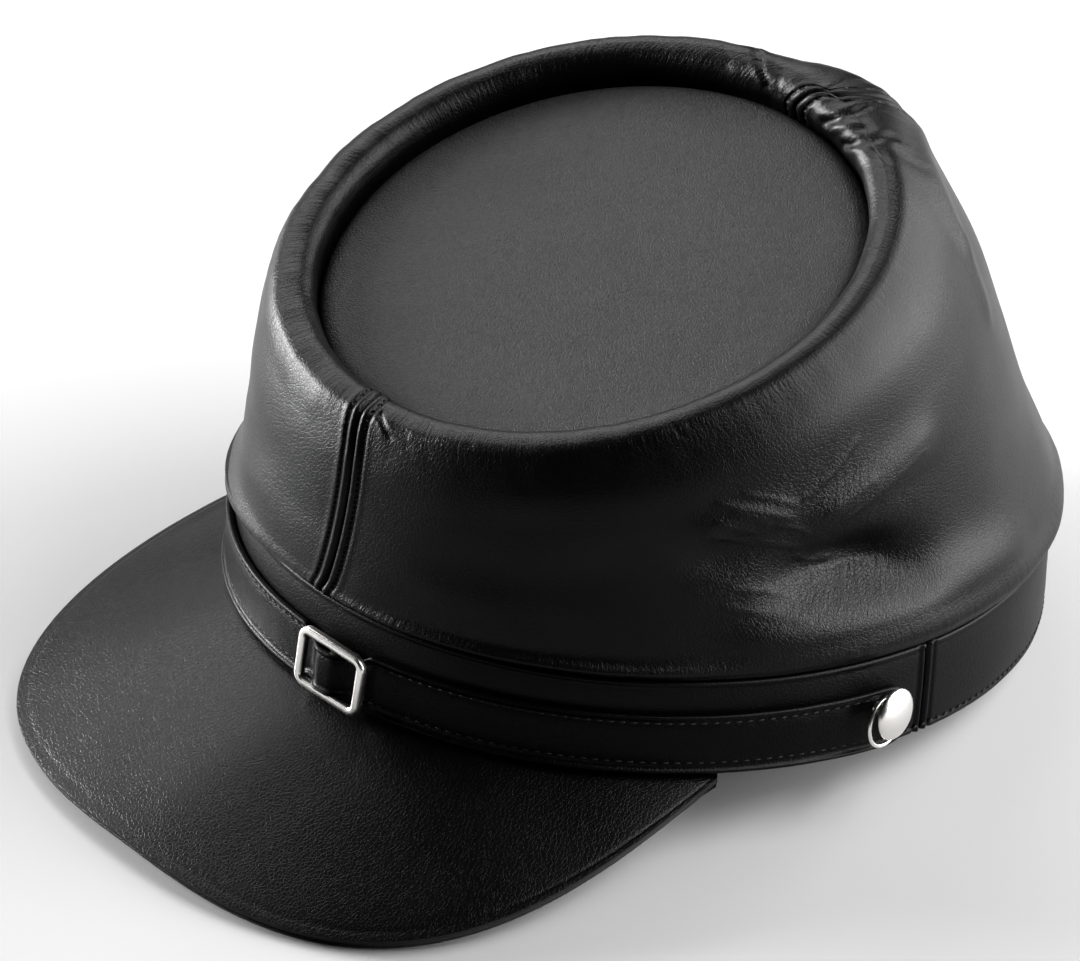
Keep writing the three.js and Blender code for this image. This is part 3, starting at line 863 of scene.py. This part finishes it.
TOP_THICKNESS = 2.0
TOP_SINK = 7.0
TOP_SWAY = 0.35
TOP_DROOP = 3.4
top_place = (
    Matrix.Translation(ROLL_SHIFT) @ Matrix.Translation((0, RIM_CENTRE_Y, RIM_HEIGHT))
    @ Matrix.Rotation(RIM_TIP, 4, "X")
    @ Matrix.Translation((0, 0, -TOP_SINK))
)
bm = bmesh.new()
radius = RIM_RADIUS - GAP
flat_radius = radius - TOP_DROOP
rings = [(share * flat_radius, 0) for share in np.linspace(0, 1, 26)]
turned_on(bm, rings + [
    (radius - 2.2, -0.2), (radius - 1.0, -0.8), (radius, -1.7), (radius, -TOP_THICKNESS - 0.5),
    (flat_radius, -TOP_THICKNESS), (0, -TOP_THICKNESS),
], 96)
for vert in bm.verts:
    sway = noise.noise((vert.co.x / 30, vert.co.y / 30, 4.4))
    vert.co.z += TOP_SWAY * sway * (1 - vert.co.xy.length / RIM_RADIUS)
bm.transform(top_place)
make_piece("crown_top_leather", bm, top_leather, "top_leather", "crown_top")

# %% [markdown]
# ## Band
# The band is two straps of firm leather, sewn together behind the wearer's ears. A real one is cut
# straight and bent into an oval, and so is this: a short profile is swept into a straight bar with
# spin, which also moves without turning, and every point is then wrapped on the oval. The profile
# has the rounded fold along the top and the turned hem along the bottom.

# %% Sweep a profile, and wrap it on the band
def swept_bar(profile, start, stop, steps):
    """A closed bar along X from start to stop, with the given (out, level) profile."""
    bm = bmesh.new()
    verts = [bm.verts.new((start, out, level)) for out, level in profile]
    edges = [bm.edges.new((verts[k - 1], verts[k])) for k in range(len(verts))]
    bmesh.ops.spin(bm, geom=verts + edges, cent=(0, 0, 0), axis=(1, 0, 0), angle=0.0,
                   dvec=((stop - start) / steps, 0, 0), steps=steps, use_merge=False)
    bmesh.ops.holes_fill(bm, edges=[edge for edge in bm.edges if edge.is_boundary], sides=0)
    bmesh.ops.recalc_face_normals(bm, faces=bm.faces[:])
    return bm


def wrap(bm, speed):
    """Bends a flat bar round the band: X is its length, Y points out and Z is the level. The speed
    is the length that takes up one radian."""
    fill_map(bm, "leather", lambda vert: (vert.co.x * MM, (vert.co.z + vert.co.y) * MM))
    for vert in bm.verts:
        x, out, level = vert.co
        vert.co = on_band(x / speed, level, out)
    return bm


BAND_WALL = 2.4
BAND_SEAM = math.radians(3.5)
HEM = 1.5
TOP_FOLD = 1.1
INNER_CORNER = 0.4
fold_low = BAND_HEIGHT - TOP_FOLD
band_profile = [
    (-0.7, 0.0), (-0.2, 0.12), (0.0, 0.5), (0.0, HEM - 0.35), (-0.35, HEM), (-0.08, HEM + 0.4),
    (0.0, HEM + 1.2), (0.1, 6.0), (0.12, 11.2), (0.1, 17.0), (0.0, fold_low - 0.8),
    (-0.15, fold_low - 0.2), (0.15, fold_low + 0.1),
    (0.25, BAND_HEIGHT - 0.6), (0.1, BAND_HEIGHT - 0.2), (-0.3, BAND_HEIGHT),
    (INNER_CORNER - BAND_WALL, BAND_HEIGHT), (-BAND_WALL, BAND_HEIGHT - INNER_CORNER),
    (-BAND_WALL, INNER_CORNER), (INNER_CORNER - BAND_WALL, 0.0),
]
seam_gap = 0.5 * GAP / BAND_LOW.half_length
band_arcs = {
    "band_front": (-math.pi - BAND_SEAM + seam_gap, BAND_SEAM - seam_gap, 230),
    "band_back": (BAND_SEAM + seam_gap, math.pi - BAND_SEAM - seam_gap, 210),
}


def band_seam_mark(distance):
    """How far the face moves out beside a seam: a dark groove, a turned edge, a second groove."""
    return (
        -0.7 * bell(distance, 0.35) + 0.2 * bell(distance - 0.9, 0.4)
        - 0.4 * bell(distance - 1.9, 0.4)
    )


# lengthwise edges near a seam are cut finer, for its grooves, and only the outer face is marked
FINE_NEAR_SEAM = 6
for node, (start, stop, steps) in band_arcs.items():
    low_end, high_end = start * AROUND, stop * AROUND
    bm = swept_bar(band_profile, low_end, high_end, steps)
    near_seam = []
    for edge in bm.edges:
        left, right = sorted(vert.co.x for vert in edge.verts)
        if right - left > 0.5 and min(left - low_end, high_end - right) < FINE_NEAR_SEAM:
            near_seam.append(edge)
    bmesh.ops.subdivide_edges(bm, edges=near_seam, cuts=3, use_grid_fill=True)
    for vert in bm.verts:
        if vert.co.y > -1.0:
            vert.co.y += band_seam_mark(min(vert.co.x - low_end, high_end - vert.co.x))
            vert.co.y += 0.14 * noise.noise((vert.co.x / 14, vert.co.z / 9, 2.2))
    make_piece(node + "_leather", wrap(bm, AROUND), band_leather, "band_leather", node)

# %% [markdown]
# ## Peak
# The peak is two layers of leather, one above the other, sewn together under the band. Its outline
# is a superellipse: a number for the exponent sets how square the front is. The surface falls away
# from the band, a little more steeply the further out it is.

# %% Outline and slope of the peak
# The flare widens the front, the twist turns the outline to one side, and the droop bends the slope.
Peak = namedtuple("Peak", "half_width reach end_y power flare twist end_angle slope droop")
PEAK = Peak(
    half_width=79.6, reach=100.0, end_y=-43.9, power=2.49, flare=0.19,
    twist=math.radians(-0.87), end_angle=math.radians(62), slope=math.radians(24.3), droop=0.0017,
)
PEAK_THICKNESS = 1.9
FACING_THICKNESS = 1.1
FACING_INSET = 0.8


def peak_edge(turn, inset):
    """The outline in plan, from turn -1 on the wearer's right to 1 on the left."""
    angle = (1 - turn) * math.pi / 2
    share = 2 / PEAK.power
    across = np.sign(np.cos(angle)) * np.abs(np.cos(angle)) ** share
    ahead = np.sin(angle) ** share
    x = (PEAK.half_width - inset) * (1 + PEAK.flare * ahead) * across
    y = PEAK.end_y - (PEAK.reach - inset) * ahead
    return np.stack([
        x * math.cos(PEAK.twist) - y * math.sin(PEAK.twist),
        x * math.sin(PEAK.twist) + y * math.cos(PEAK.twist),
    ], axis=-1)


seat_angles = np.radians(np.linspace(-180, 0, 361))
SEATS = on_band(seat_angles, 0.0 * seat_angles)[:, :2]


def away_from_band(points):
    """Shortest way in plan from each point to the band."""
    gaps = points[..., None, :] - SEATS
    return np.sqrt((gaps ** 2).sum(axis=-1)).min(axis=-1)


def peak_sheet(turns, shares, inset, depth):
    """Points of one face of the peak, a column for each turn and a row for each share out."""
    angles = FRONT + PEAK.end_angle * turns
    inner = on_band(angles, 0 * angles, -BAND_WALL + 0 * angles)
    root = on_band(angles, 0 * angles)
    edge = np.concatenate([peak_edge(turns, inset), np.zeros((len(turns), 1))], axis=1)
    out = root + (edge - root) * shares[:, None, None]
    away = away_from_band(out[..., :2]) * (shares > 0)[:, None]
    out[..., 2] = -math.tan(PEAK.slope) * away - PEAK.droop * away ** 2
    sheet = np.concatenate([inner[None], out])
    sheet[..., 2] -= GAP + depth
    return sheet


print("peak's front edge lies", round(float(peak_edge(np.array([0.0]), 0.0)[0, 1]), 1), "mm ahead")

# %% [markdown]
# Each layer is one bent grid with a Solidify modifier, then a small Bevel that rounds the cut edge.
# A shallow groove runs just inside the edge, where the two layers hold together.

# %% Build the peak's two layers
def peak_marks(sheet, scale):
    """Adds a slow waviness and the groove inside the edge, both multiplied by scale."""
    gap = np.linalg.norm(sheet - sheet[-1:], axis=-1)
    wave = slow_noise(sheet[..., 0], sheet[..., 1], 26, 6.6)
    sheet[..., 2] += scale * smooth(0, 12, gap) * 0.5 * wave
    sheet[..., 2] -= scale * 0.12 * bell(gap - 2.6, 0.8)
    return sheet


layers = {
    "peak": (0.0, 0.0, PEAK_THICKNESS, 1.0),
    "peak_facing": (FACING_INSET, PEAK_THICKNESS + GAP, FACING_THICKNESS, 0.3),
}
# from the right end to the left, and from the band to the edge, closer together near the edge
turns = np.linspace(-1, 1, 221)
shares = np.concatenate([np.linspace(0, 0.86, 44), np.linspace(0.87, 1, 20)])
# the columns are turned round, so that the faces look up
for node, (inset, depth, thickness, scale) in layers.items():
    sheet = peak_marks(peak_sheet(turns, shares, inset, depth), scale)
    bm = bend_grid(sheet[:, ::-1], leather=sheet[:, ::-1, :2] * MM)
    layer = make_piece(node + "_leather", bm, peak_leather, "peak_leather", node)
    add_modifier(layer, "SOLIDIFY", thickness=thickness * MM, offset=-1)
    add_modifier(layer, "BEVEL", width=0.45 * MM, segments=3, limit_method="ANGLE",
                 angle_limit=math.radians(50))

# %% [markdown]
# ## Chin strap
# The strap is a long flat strip with a raised, stitched edge on both sides. It is swept straight
# first, then its ends are rounded, it is narrowed and lifted where it passes through the buckle, and
# it is wrapped on the band. Bending it last keeps each of these steps a simple one.

# %% Shape of the strap
STRAP_FRONT_WIDTH = 13.6
STRAP_SIDE_WIDTH = 14.8
STRAP_LOW = 0.7
STRAP_TIP = 8.0
# the tongue is the narrow part inside the buckle, and the bridge stands off the band there
TONGUE_WIDTH = 10.4
TONGUE_ENDS = (7.4, 10.2)
BRIDGE_LIFT = 3.6
BRIDGE_ENDS = (1.4, 7.2)
TIP_POWER = 4
STRAP_SPEED = BAND_LOW.half_width
BUCKLE_ALONG = 8.4
BUTTON_ANGLE = math.radians(-5.7)
buckle_angle = FRONT + BUCKLE_ALONG / STRAP_SPEED


def strap_width(angle):
    share = np.abs(angle - FRONT) / math.radians(90)
    return STRAP_FRONT_WIDTH + (STRAP_SIDE_WIDTH - STRAP_FRONT_WIDTH) * share


def strap_centre(angle):
    return STRAP_LOW + strap_width(angle) / 2


def strap_lift(along):
    """How far the strap stands off the band, at a distance along it from the buckle."""
    return BRIDGE_LIFT * (1 - smooth(*BRIDGE_ENDS, np.abs(along)))


def strap_shape(angle):
    """Half width of the strap and its lift off the band at an angle."""
    along = (angle - buckle_angle) * STRAP_SPEED
    half = strap_width(angle) / 2
    waist = 1 - smooth(*TONGUE_ENDS, np.abs(along))
    half = half + (TONGUE_WIDTH / 2 - half) * waist
    for end in (BUTTON_ANGLE, -math.pi - BUTTON_ANGLE):
        past = (angle - end) * (1 if end == BUTTON_ANGLE else -1) * BAND_LOW.half_length
        share = np.clip(past / STRAP_TIP, 0, 1)
        half = half * (1 - share ** TIP_POWER) ** (1 / TIP_POWER)
    return half, strap_lift(along)


print("strap's half width at the buckle:", round(float(strap_shape(buckle_angle)[0]), 2), "mm")

# %% Build the strap
# points of (out, share of the half width), from the upper edge over the ridge to the middle
strap_side = [
    (0.4, 0.955), (0.9, 0.995), (1.35, 1.0), (1.68, 0.975), (1.82, 0.93), (1.72, 0.885),
    (1.4, 0.855), (1.2, 0.835), (1.14, 0.76), (1.04, 0.71), (1.12, 0.66), (1.28, 0.58),
    (1.36, 0.35), (1.4, 0.1),
]
lower_side = [(out, -share) for out, share in reversed(strap_side)]
strap_back = [(0.0, -0.9), (0.0, -0.3), (0.0, 0.3), (0.0, 0.9)]
ALMOST_TIP = 0.995
tip_angle = STRAP_TIP / BAND_LOW.half_length * ALMOST_TIP
strap_start = (-math.pi - BUTTON_ANGLE - tip_angle) * STRAP_SPEED
strap_stop = (BUTTON_ANGLE + tip_angle) * STRAP_SPEED
bm = swept_bar(strap_side + lower_side + strap_back, strap_start, strap_stop, 420)
for vert in bm.verts:
    angle = vert.co.x / STRAP_SPEED
    half, lift = strap_shape(angle)
    swell = 1 + 0.06 * noise.noise((vert.co.x / 5, 0, 7.7))
    vert.co.z = strap_centre(angle) + vert.co.z * half
    vert.co.y = vert.co.y * swell * min(1.0, 0.25 + half / 4) + lift + GAP
make_piece("chin_strap_leather", wrap(bm, STRAP_SPEED), strap_leather, "strap_leather",
           "chin_strap")

# %% [markdown]
# ## Stitches
# A stitch is a short rounded bar that sinks into the leather at both ends. One low sphere, stretched
# along the seam, is enough for each, because there are hundreds of them. A row of stitches is given
# by a list of places with the direction of the seam and the leather's normal.

# %% Stitches along the strap
Stitch = namedtuple("Stitch", "place along normal")
STITCH_RADIUS = 0.26


def add_stitch(bm, stitch, length):
    along = Vector(stitch.along).normalized()
    normal = Vector(stitch.normal).normalized()
    across = normal.cross(along).normalized()
    turn = Matrix((along, across, along.cross(across))).transposed().to_4x4()
    size = Matrix.Diagonal((length / 2, STITCH_RADIUS, STITCH_RADIUS, 1))
    bmesh.ops.create_uvsphere(bm, u_segments=6, v_segments=5, radius=1,
                              matrix=Matrix.Translation(stitch.place) @ turn @ size)


def sew(name, row, length=1.9):
    bm = bmesh.new()
    for stitch in row:
        add_stitch(bm, stitch, length)
    make_piece(name, bm, thread, "black_thread")


def band_stitch(angle, level, out, rise=0.0):
    """A stitch that runs round the band, slanting by the given rise."""
    here = on_band(angle, level, out)
    ahead = on_band(angle + 0.01, level, out) - here
    along = ahead / np.linalg.norm(ahead) + np.array([0, 0, rise])
    return Stitch(here, along, here - on_band(angle, level, out - 1.0))


STRAP_ROWS = (0.72, -0.64)
STRAP_ROW_OUT = 1.05
STRAP_END_BARE = 5
BUCKLE_BARE = 10.5


def strap_row(share):
    """Stitches along the strap, at a share of its half width above or below its middle."""
    row = []
    for along in np.arange(strap_start + STRAP_END_BARE, strap_stop - STRAP_END_BARE, STITCH_PITCH):
        angle = along / STRAP_SPEED
        if abs(angle - buckle_angle) * STRAP_SPEED >= BUCKLE_BARE:
            half, lift = strap_shape(angle)
            level = strap_centre(angle) + half * share
            row.append(band_stitch(angle, level, GAP + lift + STRAP_ROW_OUT))
    return row


sew("strap_stitches", [stitch for share in STRAP_ROWS for stitch in strap_row(share)])

# %% Stitches beside the crown's seams and along the hem
CROWN_STITCH_SUNK = 0.62


def crown_seam_row(seam_angle, side):
    """Stitches beside a crown seam, from the band over the roll."""
    lengths = np.arange(2.5, ROLL_END - 1, STITCH_PITCH)
    # a narrow strip of the crown is enough to read the leather's directions at the seam
    spots = np.linspace(seam_angle - 0.06, seam_angle + 0.06, 25)
    grid = curve_through(crown_rows(spots), KNOTS, lengths)
    middle = len(spots) // 2
    around = np.gradient(grid, spots, axis=1)[:, middle]
    upward = np.gradient(grid, lengths, axis=0)[:, middle]
    row = []
    for place, way, up in zip(grid[:, middle], around, upward):
        normal = np.cross(way, up)
        normal /= np.linalg.norm(normal)
        step = side * STITCH_ROW * way / np.linalg.norm(way)
        row.append(Stitch(place + step - normal * CROWN_STITCH_SUNK, up, normal))
    return row


sew("crown_stitches", [
    stitch for seam in (FRONT_SEAM, BACK_SEAM) for side in (1, -1)
    for stitch in crown_seam_row(seam, side)
])

HEM_STITCH_OUT = -0.12
HEM_STITCH_RISE = 0.55
BAND_RADIUS = 92
sew("band_stitches", [
    band_stitch(angle, HEM, HEM_STITCH_OUT, HEM_STITCH_RISE)
    for angle in np.arange(-math.pi, math.pi, STITCH_PITCH / BAND_RADIUS)
], length=1.6)

# %% [markdown]
# ## Buckle
# The slide buckle is one piece of polished metal. A block gets round corners, a window is cut by
# insetting its two faces and bridging them, and a small bevel on every edge gives it the bright
# lines that polished metal shows. A second block is the bar that the strap hides. The buckle's place
# and turn are measured on the CAD solid: the directions in which its points spread most and least
# are its own axes.

# %% Measure how a CAD solid lies
def own_axes(node):
    """Centre of a CAD solid, its axes from the widest spread to the narrowest, and its sizes."""
    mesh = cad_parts[node].data
    points = np.unique(np.array([vert.co for vert in mesh.vertices]).round(7), axis=0)
    mean = points.mean(axis=0)
    _, axes = np.linalg.eigh(np.cov((points - mean).T))
    widest_first = axes[:, ::-1].T
    spread = (points - mean) @ widest_first.T
    middle = (spread.max(axis=0) + spread.min(axis=0)) / 2
    return mean + middle @ widest_first, widest_first, np.ptp(spread, axis=0)


def facing(axis, direction):
    """The axis, turned round if it points away from a direction."""
    return axis if np.dot(axis, direction) > 0 else -axis


centre, axes, sizes = own_axes("buckle")
print("buckle is", (sizes / MM).round(1), "mm")


# %% Build the buckle
BUCKLE_BAR = 2.1
BUCKLE_CORNER = 3.0
BUCKLE_DEEP = 2.2
BUCKLE_WIDER = 1.1


def round_edges(bm, edges, radius, segments):
    bmesh.ops.bevel(bm, geom=edges, offset=radius, affect="EDGES", segments=segments, profile=0.5,
                    material=-1)


wide = facing(axes[0], (1, 0, 0))
tall = facing(axes[1], (0, 0, 1))
deep = np.cross(wide, tall)
buckle_width = sizes[0] / MM + BUCKLE_WIDER
buckle_height = sizes[1] / MM
centre = centre + wide * BUCKLE_WIDER / 2 * MM

bm = bmesh.new()
bmesh.ops.create_cube(bm, size=1, matrix=Matrix.Diagonal(
    (buckle_width, buckle_height, BUCKLE_DEEP, 1)))
upright = [edge for edge in bm.edges if abs(edge.verts[0].co.z - edge.verts[1].co.z) > 1]
round_edges(bm, upright, BUCKLE_CORNER, 8)
faces = [face for face in bm.faces if abs(face.normal.z) > 0.9]
bmesh.ops.inset_individual(bm, faces=faces, thickness=BUCKLE_BAR, depth=0)
window = [face for face in faces if face.is_valid]
rims = [edge for face in window for edge in face.edges]
bmesh.ops.delete(bm, geom=window, context="FACES_ONLY")
bmesh.ops.bridge_loops(bm, edges=rims)
bmesh.ops.recalc_face_normals(bm, faces=bm.faces[:])
round_edges(bm, [edge for edge in bm.edges if edge.calc_face_angle(0) > math.radians(50)], 0.8, 4)
bar = bmesh.ops.create_cube(bm, size=1, matrix=Matrix.Translation((0, 0, -0.5)) @ Matrix.Diagonal(
    (1.6, buckle_height - BUCKLE_BAR, 1.0, 1)))
round_edges(bm, list({edge for vert in bar["verts"] for edge in vert.link_edges}), 0.3, 3)
stand = Matrix((wide, tall, deep)).transposed().to_4x4()
bm.transform(PLACE.inverted() @ Matrix.Translation(centre) @ stand @ Matrix.Scale(MM, 4))
make_piece("buckle_metal", bm, nickel, "polished_nickel", "buckle")

# %% [markdown]
# ## Buttons and rings
# A button is turned: half of its outline is spun round its axis. The head is domed, with a rolled
# lip, and stands on a shank that goes through strap and band to a foot inside. A thin ring hangs on
# the shank behind the head.

# %% Build the buttons and their rings
# points of (radius, height): foot, shank, rolled lip, dome
BUTTON_PROFILE = [
    (0, -5.3), (3.6, -5.3), (4.0, -4.9), (4.0, -4.5), (3.8, -4.3),
    (1.4, -4.3), (1.4, 5.1), (1.6, 5.35),
    (5.0, 5.4), (5.55, 5.5), (5.85, 5.8), (5.95, 6.15), (5.85, 6.5), (5.6, 6.8), (5.2, 7.05),
    (4.6, 7.3), (3.8, 7.6), (2.6, 7.9), (1.3, 8.06), (0, 8.1),
]
RING_RADIUS = 5.6
RING_WIRE = 0.9
BUTTON_RAISE = 1.5
# a ring hangs a little forward and lower than its button's raised head
RING_SHIFT = np.array([0, -1.08, 0.3])


def stand_up(normal, centre):
    """Matrix that puts a turned piece at a centre in metres, with its axis along the normal."""
    turn = Vector(normal).to_track_quat("Z", "Y").to_matrix().to_4x4()
    return PLACE.inverted() @ Matrix.Translation(centre) @ turn @ Matrix.Scale(MM, 4)


for side, outwards in (("left", (1, 0, 0)), ("right", (-1, 0, 0))):
    centre, axes, sizes = own_axes("button_" + side)
    ring_centre, ring_axes, _ = own_axes("button_ring_" + side)
    centre = centre + np.array([0, 0, BUTTON_RAISE]) * MM
    print(side, "button is", (sizes / MM).round(2), "mm")
    # a round button is as wide as high, so its axis is the one whose two other sizes are alike
    alike = [abs(sizes[1] - sizes[2]), abs(sizes[0] - sizes[2]), abs(sizes[0] - sizes[1])]
    axis = facing(axes[int(np.argmin(alike))], outwards)
    bm = bmesh.new()
    turned_on(bm, BUTTON_PROFILE, 64)
    low, high = BUTTON_PROFILE[0][1], BUTTON_PROFILE[-1][1]
    bmesh.ops.translate(bm, verts=bm.verts[:], vec=(0, 0, -(low + high) / 2))
    bm.transform(stand_up(axis, centre))
    make_piece(f"button_{side}_metal", bm, nickel, "polished_nickel", "button_" + side)
    bm = bmesh.new()
    wire = [
        (RING_RADIUS + RING_WIRE / 2 * math.cos(turn), RING_WIRE / 2 * math.sin(turn))
        for turn in np.linspace(0, 2 * math.pi, 17)
    ]
    turned_on(bm, wire, 72)
    bm.transform(stand_up(facing(ring_axes[2], outwards), ring_centre + RING_SHIFT * MM))
    make_piece(f"button_ring_{side}_metal", bm, nickel, "polished_nickel",
               "button_ring_" + side)
